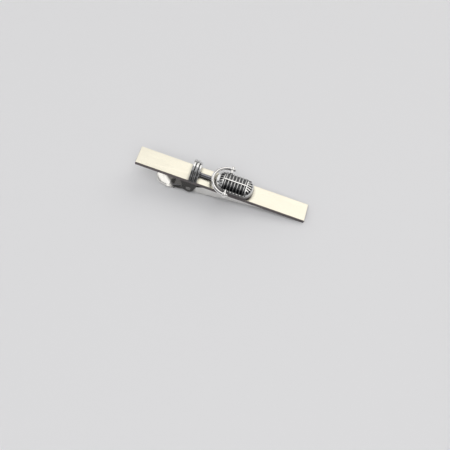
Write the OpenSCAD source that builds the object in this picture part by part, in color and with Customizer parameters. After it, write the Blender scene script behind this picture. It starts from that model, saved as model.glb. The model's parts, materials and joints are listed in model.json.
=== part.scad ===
// Tie bar with a sprung clasp and a stage microphone ornament.
// Every piece is drawn with the bar level and its top face at height 0, +X from the thumb tab to the
// plain end, and set_down() then tips the whole clip until it lies on a table as a real one does.

/* [Bar] */
// Length of the bar
bar_len = 60; // [56:1:64]
// Width of the bar
bar_w = 7; // [6.6:0.1:8]
// Thickness of the bar
bar_t = 1.4; // [1.2:0.1:1.6]

/* [Clasp] */
// Distance of the hinge pin from the middle of the bar
hinge_x = -10.6; // [-11:0.1:-10.2]
// Depth of the hinge pin below the bar's top face
hinge_z = -5.4; // [-5.6:0.1:-5.2]
// Diameter of the hinge pin
pin_d = 1.1; // [1:0.1:1.2]
// Radial clearance of the lever on the pin
pin_play = 0.05; // [0.03:0.01:0.08]
// Thickness of the stamped sheet
sheet_t = 0.5; // [0.4:0.05:0.55]
// Width over the lever's side walls
lever_w = 4.7; // [4.4:0.1:4.8]
// Pitch of the jaw's gripping teeth
tooth_pitch = 1.2; // [1:0.1:1.5]
// Wire diameter of the torsion spring
wire_d = 0.4; // [0.3:0.05:0.45]

/* [Microphone] */
// Diameter of the stand's foot
foot_d = 8.4; // [8:0.1:8.6]
// Diameter of the stand's stem
stem_d = 1.5; // [1.4:0.1:1.7]
// Radius of the yoke, to the middle of its wire
yoke_r = 5.5; // [5.4:0.05:5.6]
// Wire diameter of the yoke
yoke_d = 1; // [0.9:0.05:1.1]
// Length of the head
head_len = 13.5; // [13:0.1:14]
// Width of the head
head_w = 8; // [7.8:0.1:8.1]
// Height of the head over the bar
head_h = 3.3; // [3.2:0.05:3.5]
// Number of cross ribs on the head
rib_count = 7; // [6:1:7]

/* [Hidden] */
$fn = 48;

// Bar and its underside
bar_under = -bar_t;

// Lever outline seen from the side: free end of the thumb tab, the two ends of the flat that the
// clip lies on, the web under the hinge, the knee and the tip of the jaw
tab_end = [-22.6, -8.3];
tab_low = [-17.8, -9.5];
rest_slope = (bar_under - tab_low.y) / (bar_len / 2 - tab_low.x);
rest_tilt = atan(rest_slope);
tab_flat_end = tab_low + [2, 2 * rest_slope];
web_back = [-12.8, -8.05];
knee_back = [-9, -7.3];
knee = [-5, -7.25];
jaw_tip = [18.6, -3.1];
grip_z = bar_under - 0.06;
grip_x = 3;
jaw_slope = (jaw_tip.y - knee.y) / (jaw_tip.x - knee.x);

// Clasp base: plate soldered under the bar, with two ears folded down around the pin
plate_t = 0.6;
plate_x0 = -17.5;
plate_x1 = -7.4;
ear_r = 1.9;
ear_t = 0.45;
ear_gap = 0.1;
ear_in = lever_w / 2 + ear_gap;
ear_out = ear_in + ear_t;
rivet_r = 0.9;
rivet_t = 0.22;

// Torsion spring
coil_r = 0.97;
coil_turns = 6;
coil_pitch = wire_d * 1.12;
leg_up = [-16.6, bar_under - plate_t - wire_d / 2 - 0.02];
leg_down = [-16.2, tab_flat_end.y + sheet_t + wire_d / 2 + 0.1];

// Microphone stand
disc_z = 1.1;
groove_d = 6.6;
foot_x0 = -11.25;
foot_t = 0.85;
middle_t = 0.85;
top_t = 0.75;
groove_t = [0.26, 0.2];
stem_z = 0.45;
collar_r = 1.15;
collar_t = 0.4;
post_r = 0.6;

// Yoke and pivots
pivot_x = 1.65;
pivot_z = 1.9;
arm_len = 0.75;
eye_r = 0.72;
eye_half = yoke_d / 2 + 0.06;
boss_r = 0.5;
screw_r = 0.22;
knob_r = 0.62;
knob_t = 0.45;

// Head
head_x0 = -2.8;
head_mid = head_x0 + head_len / 2;
head_top = head_h - 0.1;
plan_r = 3.5;
side_r = 1.7;
nose_r = 2.3;
crown_r = 8;
skin_t = 0.45;
belt_z = 1.5;
ribs_x0 = 0;
ribs_x1 = 7.8;
rib_t = 0.55;
rib_pitch = (ribs_x1 - ribs_x0) / rib_count;
rail_t = 0.35;
hoop_t = 0.3;
fan_x0 = 2.9;
fan_x1 = 5.2;
fan_count = 7;
fan_step = 13;
fan_slot = 0.55;
spine_w = 0.55;
spine_depth = 0.3;

// Tips the level clip about Y so that the thumb tab's flat and the bar's plain end touch the table
module set_down() {
    level_low = -(bar_len / 2) * sin(rest_tilt) + bar_under * cos(rest_tilt);
    level_x0 = -(bar_len / 2) * cos(rest_tilt) + bar_under * sin(rest_tilt);
    top_x = (bar_len / 2) * cos(rest_tilt);
    translate([-(level_x0 + top_x) / 2, 0, -level_low]) rotate([0, rest_tilt, 0]) children();
}

// A side outline in X and Z, made into a plate between two Y values
module side_plate(y0, y1) {
    translate([0, y1, 0]) rotate([90, 0, 0]) linear_extrude(height = y1 - y0) children();
}

// A cylinder along Y between two Y values
module y_rod(x, z, r, y0, y1) {
    translate([x, y1, z]) rotate([90, 0, 0]) cylinder(r = r, h = y1 - y0);
}

// A cylinder along X between two X values
module x_rod(z, r, x0, x1) {
    translate([x0, 0, z]) rotate([0, 90, 0]) cylinder(r = r, h = x1 - x0);
}

// Everything above the bar's top face
module above_bar() {
    translate([-50, -20, 0]) cube([100, 40, 20]);
}

// Height of the web's outer face at x, along the jaw
function jaw_low(x) = knee.y + (x - knee.x) * jaw_slope;

module tie_bar() {
    color("linen") set_down()
        translate([-bar_len / 2, -bar_w / 2, bar_under]) cube([bar_len, bar_w, bar_t]);
}

module ear_outline() {
    difference() {
        union() {
            translate([hinge_x, hinge_z]) circle(r = ear_r);
            polygon([[hinge_x - ear_r, hinge_z], [hinge_x - 3.6, bar_under - plate_t],
                     [hinge_x + 3, bar_under - plate_t], [hinge_x + ear_r, hinge_z]]);
        }
        translate([hinge_x, hinge_z]) circle(r = pin_d / 2);
    }
}

module clasp_base() {
    color("gray") set_down() union() {
        translate([plate_x0, -ear_out, bar_under - plate_t])
            cube([plate_x1 - plate_x0, 2 * ear_out, plate_t]);
        side_plate(ear_in, ear_out) ear_outline();
        side_plate(-ear_out, -ear_in) ear_outline();
    }
}

module hinge_pin() {
    color("silver") set_down() union() {
        y_rod(hinge_x, hinge_z, pin_d / 2, -ear_out, ear_out);
        y_rod(hinge_x, hinge_z, rivet_r, ear_out, ear_out + rivet_t);
        y_rod(hinge_x, hinge_z, rivet_r, -ear_out - rivet_t, -ear_out);
    }
}

// Spring path: up leg, coil about the pin and down leg, one list of points
function leg_angle(end, side) =
    let (d = end - [hinge_x, hinge_z])
    atan2(d.y, d.x) + side * acos(coil_r / norm(d));
coil_start = leg_angle(leg_up, -1);
coil_end = leg_angle(leg_down, 1) - 360 * coil_turns;
coil_steps = 20 * coil_turns;
coil_len = coil_pitch * (coil_start - coil_end) / 360;
function coil_point(u) =
    let (a = coil_start + u * (coil_end - coil_start))
    [hinge_x + coil_r * cos(a), coil_len * (0.5 - u), hinge_z + coil_r * sin(a)];
spring_path = concat(
    [[leg_up.x, coil_len / 2, leg_up.y]],
    [for (i = [0:coil_steps]) coil_point(i / coil_steps)],
    [[leg_down.x, -coil_len / 2, leg_down.y]]);

module swept_wire(path, r, sides) {
    last = len(path) - 1;
    points = [for (i = [0:last])
        let (t = path[min(i + 1, last)] - path[max(i - 1, 0)])
        let (u = cross(t, [0, 1, 0]) / norm(cross(t, [0, 1, 0])))
        let (v = cross(u, t) / norm(cross(u, t)))
        for (k = [0:sides - 1])
            path[i] + r * (u * cos(360 * k / sides) + v * sin(360 * k / sides))];
    walls = [for (i = [0:last - 1], k = [0:sides - 1])
        let (j = (k + 1) % sides)
        [i * sides + k, (i + 1) * sides + k, (i + 1) * sides + j, i * sides + j]];
    start_cap = [[for (k = [0:sides - 1]) k]];
    end_cap = [[for (k = [sides - 1:-1:0]) last * sides + k]];
    polyhedron(points = points, faces = concat(walls, start_cap, end_cap));
}

module torsion_spring() {
    color("dimgray") set_down() swept_wire(spring_path, wire_d / 2, 10);
}

// Outer face of the web from the thumb tab to the jaw's tip, with its bends rounded
bend_points = [tab_end, tab_low, tab_flat_end, web_back, knee_back, knee, jaw_tip];
bend_radii = [0, 3, 3, 4, 2, 2, 0];
bend_steps = 6;
function unit(v) = v / norm(v);
function bend(i) =
    let (p = bend_points[i], a = unit(bend_points[i - 1] - p), b = unit(bend_points[i + 1] - p))
    let (half = acos(a * b) / 2, away = bend_radii[i] / tan(half))
    let (centre = p + unit(a + b) * bend_radii[i] / sin(half))
    let (from = p + a * away - centre, to = p + b * away - centre)
    [for (k = [0:bend_steps]) centre + bend_radii[i] * unit(from + (to - from) * k / bend_steps)];
web_line = concat([tab_end], [for (i = [1:len(bend_points) - 2], q = bend(i)) q], [jaw_tip]);

module web_outline() {
    polygon(concat(web_line,
        [for (i = [len(web_line) - 1:-1:0]) web_line[i] + [0, sheet_t]]));
}

module wall_outline() {
    teeth = floor((jaw_tip.x - grip_x) / tooth_pitch);
    up = [0, sheet_t / 2];
    difference() {
        union() {
            polygon(concat(
                [[-15.4, -8.6], web_back + up, knee_back + up, knee + up, jaw_tip + up,
                 [jaw_tip.x, grip_z]],
                [for (i = [0:teeth - 1], s = [0, 1])
                    [jaw_tip.x - 0.3 - tooth_pitch * (i + s / 2), grip_z - 0.45 * (1 - s)]],
                [[2, -2.2], [-4, -3.5], [-8.6, -4.3], [hinge_x, hinge_z + 1.4],
                 [hinge_x - 1.4, hinge_z]]));
            translate([hinge_x, hinge_z]) circle(r = 1.5);
        }
        translate([hinge_x, hinge_z]) circle(r = pin_d / 2 + pin_play);
        for (i = [0:4]) translate([-3.1 + 3.05 * i, jaw_low(-3.1 + 3.05 * i)]) circle(r = 0.62);
    }
}

// Plan of the lever: round thumb tab, straight sides and a jaw with rounded corners
module lever_plan() {
    half = lever_w / 2;
    tab_r = 2.6;
    nose = 0.9;
    union() {
        translate([tab_end.x + tab_r, 0]) circle(r = tab_r);
        translate([tab_end.x + tab_r, -tab_r]) square([3.6, 2 * tab_r]);
        translate([tab_end.x + tab_r, -half]) square([jaw_tip.x - nose - tab_end.x - tab_r, lever_w]);
        translate([0, -half + nose]) square([jaw_tip.x, lever_w - 2 * nose]);
        translate([jaw_tip.x - nose, half - nose]) circle(r = nose);
        translate([jaw_tip.x - nose, nose - half]) circle(r = nose);
    }
}

module jaw_lever() {
    half = lever_w / 2;
    color("silver") set_down() intersection() {
        union() {
            difference() {
                side_plate(-3, 3) web_outline();
                for (i = [0:4], s = [-1, 1]) translate([-3.1 + 3.05 * i, s * half, 0])
                    cube([1.24, 2 * sheet_t, 30], center = true);
            }
            side_plate(half - sheet_t, half) wall_outline();
            side_plate(-half, sheet_t - half) wall_outline();
            side_plate(-half, half)
                polygon([[jaw_tip.x - sheet_t, jaw_tip.y], jaw_tip, [jaw_tip.x, grip_z],
                         [jaw_tip.x - sheet_t, grip_z]]);
        }
        translate([0, 0, -20]) linear_extrude(height = 30) lever_plan();
    }
}

// A stand disc along X with a smaller neck on the side towards the head
module stand_disc(x, r, thick, neck) {
    edge = 0.18;
    intersection() {
        translate([x, 0, disc_z]) rotate([90, 0, 90]) rotate_extrude()
            polygon([[0, 0], [r - edge, 0], [r, edge], [r, thick - edge], [r - edge, thick],
                     [groove_d / 2, thick], [groove_d / 2, thick + neck], [0, thick + neck]]);
        above_bar();
    }
}

middle_x0 = foot_x0 + foot_t + groove_t[0];
top_x0 = middle_x0 + middle_t + groove_t[1];
stem_x0 = top_x0 + top_t;

module stand_foot() {
    color("silver") set_down() stand_disc(foot_x0, foot_d / 2, foot_t, groove_t[0]);
}

module stand_middle_disc() {
    color("silver") set_down() stand_disc(middle_x0, foot_d / 2 + 0.05, middle_t, groove_t[1]);
}

module stand_top_disc() {
    color("silver") set_down() stand_disc(top_x0, foot_d / 2 - 0.4, top_t, 0);
}

module yoke_ring() {
    translate([pivot_x, 0, pivot_z]) rotate([0, 0, 90]) rotate_extrude(angle = 180)
        translate([yoke_r, 0]) circle(d = yoke_d);
}

// The stem lies along the bar from a collar on the discs to a post that carries the yoke
module stem() {
    post_x = pivot_x - yoke_r;
    color("dimgray") set_down() difference() {
        union() {
            intersection() {
                union() {
                    x_rod(stem_z, stem_d / 2, stem_x0, post_x);
                    x_rod(stem_z, collar_r, stem_x0, stem_x0 + collar_t);
                }
                above_bar();
            }
            translate([post_x, 0, 0]) cylinder(r = post_r, h = pivot_z);
        }
        yoke_ring();
    }
}

module yoke() {
    color("gainsboro") set_down() difference() {
        union() {
            yoke_ring();
            for (s = [-1, 1]) {
                translate([pivot_x, s * yoke_r, pivot_z]) rotate([0, 90, 0])
                    cylinder(d = yoke_d, h = arm_len);
                translate([pivot_x + arm_len, s * yoke_r, pivot_z]) sphere(d = yoke_d);
                y_rod(pivot_x, pivot_z, eye_r, s * yoke_r - eye_half, s * yoke_r + eye_half);
            }
        }
        y_rod(pivot_x, pivot_z, screw_r, -10, 10);
    }
}

// Level outline with a flat foot and two rounded shoulders: half width, top height, shoulder radius
module shoulder_outline(half, top, r) {
    union() {
        translate([-half, -1]) square([2 * half, top - r + 1]);
        translate([r - half, -1]) square([2 * (half - r), top + 1]);
        translate([half - r, top - r]) circle(r = r);
        translate([r - half, top - r]) circle(r = r);
    }
}

module rounded_plan(l, w, r) {
    union() {
        square([l - 2 * r, w], center = true);
        square([l, w - 2 * r], center = true);
        for (sx = [-1, 1], sy = [-1, 1]) translate([sx * (l / 2 - r), sy * (w / 2 - r)]) circle(r = r);
    }
}

// The head's smooth outer form, made smaller all round by inset
module head_form(inset) {
    half = head_w / 2 - inset;
    top = head_top - inset;
    intersection() {
        translate([head_mid, 0, -1]) linear_extrude(height = 6)
            rounded_plan(head_len - 2 * inset, 2 * half, plan_r - inset);
        translate([head_mid - 10, 0, 0]) rotate([90, 0, 90]) linear_extrude(height = 20)
            shoulder_outline(half, top, side_r - inset);
        translate([head_mid, 10, 0]) rotate([90, 0, 0]) linear_extrude(height = 20)
            shoulder_outline(head_len / 2 - inset, top, nose_r - inset);
        translate([head_mid - 10, 0, top - crown_r + inset]) rotate([0, 90, 0])
            cylinder(r = crown_r - inset, h = 20, $fn = 96);
        above_bar();
    }
}

// The head's thin skin between two X values and two heights
module head_skin(x0, x1, z0, z1) {
    intersection() {
        difference() {
            head_form(0);
            head_form(skin_t);
        }
        translate([x0, -10, z0]) cube([x1 - x0, 20, z1 - z0]);
    }
}

module head_shell() {
    color("silver") set_down() head_skin(head_x0 - 1, head_x0 + head_len + 1, 0, belt_z);
}

module head_core() {
    color([0.05, 0.05, 0.06]) set_down() head_form(skin_t);
}

// Groove along the tops of the ribs for the spine bar
module spine_slot() {
    translate([ribs_x0, -spine_w / 2, head_top - spine_depth])
        cube([ribs_x1 - ribs_x0, spine_w, 2]);
}

module front_grille() {
    color("silver") set_down() difference() {
        intersection() {
            head_skin(ribs_x0, ribs_x1, belt_z, 5);
            union() {
                for (i = [0:rib_count - 1])
                    translate([ribs_x0 + rib_pitch * (i + 0.5) - rib_t / 2, -10, 0])
                        cube([rib_t, 20, 5]);
                translate([ribs_x0, -10, belt_z]) cube([ribs_x1 - ribs_x0, 20, rail_t]);
            }
        }
        spine_slot();
    }
}

module spine_bar() {
    color("white") set_down()
        translate([ribs_x0, -spine_w / 2, head_top - spine_depth])
            cube([ribs_x1 - ribs_x0, spine_w, spine_depth + head_h - head_top]);
}

// A fan of slots through the skin of an end cap, about a point on the head's middle line
module cap_slots(x, r0, r1, turn) {
    for (i = [0:fan_count]) translate([x, 0, belt_z + rail_t])
        rotate([0, 0, turn + fan_step * (i - fan_count / 2)])
            translate([r0, -fan_slot / 2, 0]) cube([r1 - r0, fan_slot, 5]);
}

module crown_grille() {
    color("silver") set_down() difference() {
        head_skin(ribs_x1, head_x0 + head_len + 1, belt_z, 5);
        intersection() {
            cap_slots(fan_x1, 2, 4.9, 0);
            translate([ribs_x1 + hoop_t, -10, 0]) cube([10, 20, 10]);
        }
    }
}

module neck_grille() {
    color("silver") set_down() difference() {
        head_skin(head_x0 - 1, ribs_x0, belt_z, 5);
        intersection() {
            cap_slots(fan_x0, 2, 4.3, 180);
            translate([ribs_x0 - hoop_t - 10, -10, 0]) cube([10, 20, 10]);
        }
    }
}

// The boss stands on the head's side and carries the pivot screw; side is -1 in front, 1 behind
module pivot_boss(side) {
    inner = yoke_r - eye_half;
    difference() {
        y_rod(pivot_x, pivot_z, boss_r, min(side * 3.3, side * inner), max(side * 3.3, side * inner));
        y_rod(pivot_x, pivot_z, screw_r, -10, 10);
        head_form(0);
    }
}

module pivot_screw(side) {
    inner = head_w / 2;
    outer = yoke_r + eye_half;
    tip = outer + knob_t;
    union() {
        y_rod(pivot_x, pivot_z, screw_r, min(side * inner, side * outer),
              max(side * inner, side * outer));
        y_rod(pivot_x, pivot_z, knob_r, min(side * outer, side * tip),
              max(side * outer, side * tip));
    }
}

module pivot_boss_front() { color("silver") set_down() pivot_boss(-1); }
module pivot_boss_back() { color("silver") set_down() pivot_boss(1); }
module pivot_screw_front() { color("gainsboro") set_down() pivot_screw(-1); }
module pivot_screw_back() { color("gainsboro") set_down() pivot_screw(1); }

tie_bar();
clasp_base();
hinge_pin();
torsion_spring();
jaw_lever();
stand_foot();
stand_middle_disc();
stand_top_disc();
stem();
yoke();
pivot_boss_front();
pivot_boss_back();
pivot_screw_front();
pivot_screw_back();
head_shell();
head_core();
front_grille();
spine_bar();
crown_grille();
neck_grille();
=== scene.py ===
import json
import math

import bmesh
import bpy
import numpy as np
from mathutils import Matrix, Vector


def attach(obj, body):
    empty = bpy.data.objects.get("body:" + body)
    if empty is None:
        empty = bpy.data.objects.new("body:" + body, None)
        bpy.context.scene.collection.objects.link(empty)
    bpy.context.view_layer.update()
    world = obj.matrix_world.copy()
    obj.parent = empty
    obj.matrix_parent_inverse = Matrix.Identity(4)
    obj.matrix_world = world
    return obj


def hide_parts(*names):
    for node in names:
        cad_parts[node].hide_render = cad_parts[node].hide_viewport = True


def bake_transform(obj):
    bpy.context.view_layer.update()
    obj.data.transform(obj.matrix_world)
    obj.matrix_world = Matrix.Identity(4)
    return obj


# Looks of a tie bar with a sprung clasp and a stage microphone ornament.
# Detailed pieces are built in millimetres in the bar's own level space: +X runs along the bar from
# the thumb tab to the plain end, the bar's top face is at height 0 and its middle at X = Y = 0.
# seat() then carries each finished mesh into the row frame, where the clip lies tipped on its table.

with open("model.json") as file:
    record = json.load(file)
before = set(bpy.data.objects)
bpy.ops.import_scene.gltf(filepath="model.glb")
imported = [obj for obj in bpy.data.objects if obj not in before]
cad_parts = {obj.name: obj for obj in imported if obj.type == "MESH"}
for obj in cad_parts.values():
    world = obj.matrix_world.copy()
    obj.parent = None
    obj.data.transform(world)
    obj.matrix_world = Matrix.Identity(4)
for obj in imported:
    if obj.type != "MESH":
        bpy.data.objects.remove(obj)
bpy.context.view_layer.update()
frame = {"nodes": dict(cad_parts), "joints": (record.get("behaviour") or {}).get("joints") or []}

MM = 0.001

# Camera, in the row frame
CAMERA_AZIMUTH = 12.626
CAMERA_ELEVATION = 56.919
CAMERA_ROLL = 3.51
CAMERA_DISTANCE = 248.07
CAMERA_LENS = 58.8
AIM = (4.28, -11.076, -1.242)

# Greys of the room, as (upward part of the direction, from 0 level to 1 straight up, grey)
ROOM_GREYS = [(0.0, 0.78), (0.16, 0.55), (0.42, 0.12), (0.75, 0.10), (0.97, 0.5)]

# Bar and lever, in millimetres
BAR_EASE = 0.13
SHEET = 0.5
LEVER_LINE = [(-22.6, -8.3), (-17.8, -9.5), (-15.8, -9.16), (-12.8, -8.05), (-9.0, -7.3),
              (-5.0, -7.25), (18.6, -3.1)]
LEVER_CURVES = [0, 3, 3, 4, 2, 2, 0]
LEVER_WIDTH = 4.7
LEVER_BEND = 0.55
STATION_PITCH = 0.45
EDGE_ROOT = [(-15.6, -9.0), (-14.6, -8.1), (-12.9, -6.4)]
EDGE_JAW = [(-8.2, -4.25), (-4, -3.5), (2, -2.2)]
PIVOT_RADIUS = 1.5
WALL_LEAN = 0.25
LEAN_SPAN = (-8.6, -4.5)
TAB_RADIUS = 2.6
TAB_NOSE_SQUARED = 0.12
TAB_NOSE_ANGLE = 0.16
TAB_TO_NECK = 2.2
NECK_LENGTH = 1.6
SPOON_DEPTH = 0.4
SPOON_SPAN = (-19.8, -15.8)
NOSE_RADIUS = 0.9
TEETH_START = 3.0
TOOTH_PITCH = 1.2
TOOTH_DEPTH = 0.45
TOOTH_FLAT = 0.02
TIP_LAND = 0.3
GRIP_GAP = 0.06
NOTCHES = 5
NOTCH_START = -3.1
NOTCH_PITCH = 3.05
NOTCH_RADIUS = 0.62
NOTCH_INSET = 0.75

# Clasp base, pin and spring, in millimetres
EAR_RADIUS = 1.9
EAR_SHEET = 0.45
EAR_TAB_SIDE = 3.6
EAR_JAW_SIDE = 3.0
EAR_FILLET = (0.15, 0.45)
EAR_BEND = 0.5
EAR_STATION_PITCH = 0.3
PIN_RADIUS = 0.55
PIN_HOLE = 0.62
PIN_HEAD = 0.22
SPRING_WIRE = 0.4
COIL_RADIUS = 0.97
COIL_TURNS = 6
COIL_PITCH = 1.12
LEG_UP_X = -16.6
LEG_UP_DROP = 0.6
LEG_DOWN = (-16.2, -8.36)

# Painted shade on the lever's root, where its sheet lies under the bar: its span along X in the row
# frame, in millimetres
ROOT_START = -18.9
ROOT_END = -10.5
ROOT_SLANT = 1.17
ROOT_FADE = (0.8, 2)

# Stand and yoke, in millimetres
DISC_AXIS = 1.1
DISC_THICKNESS = (0.85, 0.85, 0.75)
DISC_EDGE = 0.17
DISC_LIP = 0.3
DISC_RING = 0.85
DISC_RECESS = 0.05
DISC_NECK = 3.3
STEM_RADIUS = 0.75
STEM_AXIS = 0.45
POST_RADIUS = 0.6
YOKE_WIRE = 1.1
EYE_HALF = 0.56
BOSS_START = 3.6
BOSS_RADIUS = 0.5
SHANK_RADIUS = 0.22
KNOB_RADIUS = 0.62
KNOB_LENGTH = 0.45
FLUTES = 16
FLUTE_DEPTH = 0.03

# Microphone head, in millimetres
PLAN_RADIUS = 3.5
BELT_TOP = 1.42
LEDGE = 0.2
SKIN = 0.42
DOME_POWER = 2.5
RIBS = 7
RIB_WIDTH = 0.42
RIB_DEPTH = 0.5
RAIL_HEIGHT = 0.32
FAN_SLOTS = 7
FAN_STEP = 14
SLOT_WIDTH = 0.5
SLOT_FOOT = 0.3
CUT_LENGTH = 20
CUT_WIDTH = 10

# Surface detail of the metals: noise scales per metre, bump height in metres
CLOUD_SCALE = 260.0
STREAK_SCALE = 2600.0
BUMP_HEIGHT = 0.00002
# Painted shade in folds and corners: the occlusion range that maps to it, and its colour
HOLLOW_RANGE = (0.35, 0.95)
HOLLOW_SHADE_COLOUR = (0.02, 0.02, 0.022)


# ---------------------------------------------------------------- places

def bar_space():
    """Matrix from the level bar's millimetres to the row frame, taken from the tie bar's corners."""
    corners = np.array([v.co for v in frame["nodes"]["tie_bar"].data.vertices])
    left = corners[corners[:, 0] < corners[:, 0].mean()].mean(0)
    right = corners[corners[:, 0] > corners[:, 0].mean()].mean(0)
    along = Vector(right - left).normalized()
    up = along.cross(Vector((0, 1, 0)))
    middle = Vector((left + right) / 2)
    top = max(Vector(c).dot(up) for c in corners)
    origin = middle + up * (top - middle.dot(up))
    turn = Matrix((along, Vector((0, 1, 0)), up)).transposed().to_4x4()
    return Matrix.Translation(origin) @ turn @ Matrix.Scale(MM, 4)


BAR = bar_space()
LEVEL = BAR.inverted()


def span(node):
    """Lowest and highest corner of a CAD node in the bar's space, in millimetres."""
    points = np.array([LEVEL @ v.co for v in frame["nodes"][node].data.vertices])
    return points.min(0), points.max(0)


def hinge_point():
    """The clasp hinge's axis in the bar's space, as (X, Z)."""
    pos = LEVEL @ Vector(frame["joints"][0]["pos_m"])
    return pos.x, pos.z


# ---------------------------------------------------------------- shapes

def rounded(points, radii, steps=6):
    """A polyline in a plane with an arc of the given radius at each inner corner."""
    line = [np.array(points[0], float)]
    for i in range(1, len(points) - 1):
        corner = np.array(points[i], float)
        back = np.array(points[i - 1], float) - corner
        ahead = np.array(points[i + 1], float) - corner
        back, ahead = back / np.linalg.norm(back), ahead / np.linalg.norm(ahead)
        if radii[i] == 0:
            line.append(corner)
            continue
        half = math.acos(np.clip(back @ ahead, -1, 1)) / 2
        centre = corner + (back + ahead) / np.linalg.norm(back + ahead) * radii[i] / math.sin(half)
        start = corner + back * radii[i] / math.tan(half) - centre
        end = corner + ahead * radii[i] / math.tan(half) - centre
        for k in range(steps + 1):
            toward = start + (end - start) * k / steps
            line.append(centre + radii[i] * toward / np.linalg.norm(toward))
    line.append(np.array(points[-1], float))
    return line


def arc(centre, radius, start, end, count):
    """Points in a plane on an arc about a centre, from one angle to another in degrees."""
    return [(centre[0] + radius * math.cos(math.radians(a)),
             centre[1] + radius * math.sin(math.radians(a)))
            for a in np.linspace(start, end, count)]


def skin_grid(rows, close_rows=False, close_columns=False):
    """Vertices and quads over rows of points, each row as long as the first."""
    count, width = len(rows), len(rows[0])
    verts = [tuple(p) for row in rows for p in row]
    faces = []
    for i in range(count if close_rows else count - 1):
        for j in range(width if close_columns else width - 1):
            a, b = i * width + j, i * width + (j + 1) % width
            c, d = ((i + 1) % count) * width + (j + 1) % width, ((i + 1) % count) * width + j
            faces.append((a, b, c, d))
    return verts, faces


def closed_tube(rows):
    """Rows of closed rings skinned into one solid with flat ends."""
    verts, faces = skin_grid(rows, close_columns=True)
    width = len(rows[0])
    faces.append(tuple(range(width)))
    faces.append(tuple(range(len(verts) - 1, len(verts) - 1 - width, -1)))
    return verts, faces


def lathe(profile, axis, centre, steps=96):
    """A turned solid: profile gives (place along the axis, radius), axis is "x", "y" or "z"."""
    rows = []
    for along, radius in profile:
        ring = []
        for k in range(steps):
            a = 2 * math.pi * k / steps
            u, v = max(radius, 1e-5) * math.cos(a), max(radius, 1e-5) * math.sin(a)
            ring.append({"x": (along, centre[0] + u, centre[1] + v),
                         "y": (centre[0] + u, along, centre[1] + v),
                         "z": (centre[0] + u, centre[1] + v, along)}[axis])
        rows.append(ring)
    return closed_tube(rows)


def wire(path, radius, sides=16, ends=4):
    """A round wire along a path, with rounded ends of that many rings."""
    path = [Vector(p) for p in path]
    tangents = []
    for i in range(len(path)):
        tangents.append((path[min(i + 1, len(path) - 1)] - path[max(i - 1, 0)]).normalized())
    side = tangents[0].orthogonal().normalized()
    rows = []
    for i, (p, t) in enumerate(zip(path, tangents)):
        side = (side - t * side.dot(t)).normalized()
        across = t.cross(side)
        stops = [(0.0, radius)]
        if i == 0:
            stops = cap_stops(radius, ends, -1)
        elif i == len(path) - 1:
            stops = cap_stops(radius, ends, 1)
        for shift, r in stops:
            angles = [2 * math.pi * k / sides for k in range(sides)]
            rows.append([p + t * shift + (side * math.cos(a) + across * math.sin(a)) * r
                         for a in angles])
    return closed_tube(rows)


def cap_stops(radius, rings, direction):
    """Shift and radius of the rings of a wire's slightly domed end, in the path's order."""
    stops = []
    for k in range(rings + 1):
        a = math.pi / 2 * k / rings
        stops.append((direction * 0.35 * radius * (math.sin(a) - 1), radius * max(math.cos(a), 0.02)))
    if direction < 0:
        stops.reverse()
    return stops


def strip(path, normals, section):
    """A solid with one section swept along a path across X; section gives (X, out) pairs."""
    rows = []
    for p, n in zip(path, normals):
        rows.append([(p[0] + x, p[1] + n[1] * out, p[2] + n[2] * out) for x, out in section])
    return closed_tube(rows)


def block(low, high):
    """An upright box between two corners, as a cutter."""
    x, y, z = zip(low, high)
    rows = [[(x[i], y[0], z[0]), (x[i], y[1], z[0]), (x[i], y[1], z[1]), (x[i], y[0], z[1])]
            for i in (0, 1)]
    return closed_tube(rows)


def turned(shape, centre, angle):
    """A shape turned about the upright axis through a point, by degrees."""
    c, s = math.cos(math.radians(angle)), math.sin(math.radians(angle))
    verts = []
    for x, y, z in shape[0]:
        dx, dy = x - centre[0], y - centre[1]
        verts.append((centre[0] + c * dx - s * dy, centre[1] + s * dx + c * dy, z))
    return verts, shape[1]


# ---------------------------------------------------------------- mesh objects

def new_mesh(name, shapes, closed=True):
    """One object, in millimetres, from one or more shapes."""
    verts, faces = [], []
    for v, f in shapes:
        faces += [tuple(i + len(verts) for i in face) for face in f]
        verts += [tuple(p) for p in v]
    mesh = bpy.data.meshes.new(name)
    mesh.from_pydata(verts, [], faces)
    obj = bpy.data.objects.new(name, mesh)
    bpy.context.scene.collection.objects.link(obj)
    bm = bmesh.new()
    bm.from_mesh(mesh)
    bmesh.ops.remove_doubles(bm, verts=bm.verts, dist=2e-4)
    bmesh.ops.dissolve_degenerate(bm, edges=bm.edges, dist=1e-5)
    if closed:
        bmesh.ops.recalc_face_normals(bm, faces=bm.faces)
    bm.to_mesh(mesh)
    bm.free()
    return obj


def bake(obj):
    """Applies an object's modifiers."""
    depsgraph = bpy.context.evaluated_depsgraph_get()
    mesh = bpy.data.meshes.new_from_object(obj.evaluated_get(depsgraph))
    obj.modifiers.clear()
    obj.data = mesh


def combine(obj, tool, operation):
    """Cuts, joins or keeps what is common between two objects, and removes the second."""
    modifier = obj.modifiers.new("combine", "BOOLEAN")
    modifier.operation = operation
    modifier.solver = "EXACT"
    modifier.object = tool
    bake(obj)
    bpy.data.objects.remove(tool)


def combine_shape(obj, shape, operation):
    """The same, with a shape that isn't an object yet."""
    combine(obj, new_mesh("tool", [shape]), operation)


def soften(obj, width, segments=2, angle=35):
    """Rounds the hard edges of a mesh."""
    bevel = obj.modifiers.new("soften", "BEVEL")
    bevel.width = width
    bevel.segments = segments
    bevel.limit_method = "ANGLE"
    bevel.angle_limit = math.radians(angle)
    bevel.use_clamp_overlap = True
    bevel.harden_normals = False
    bake(obj)


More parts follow.
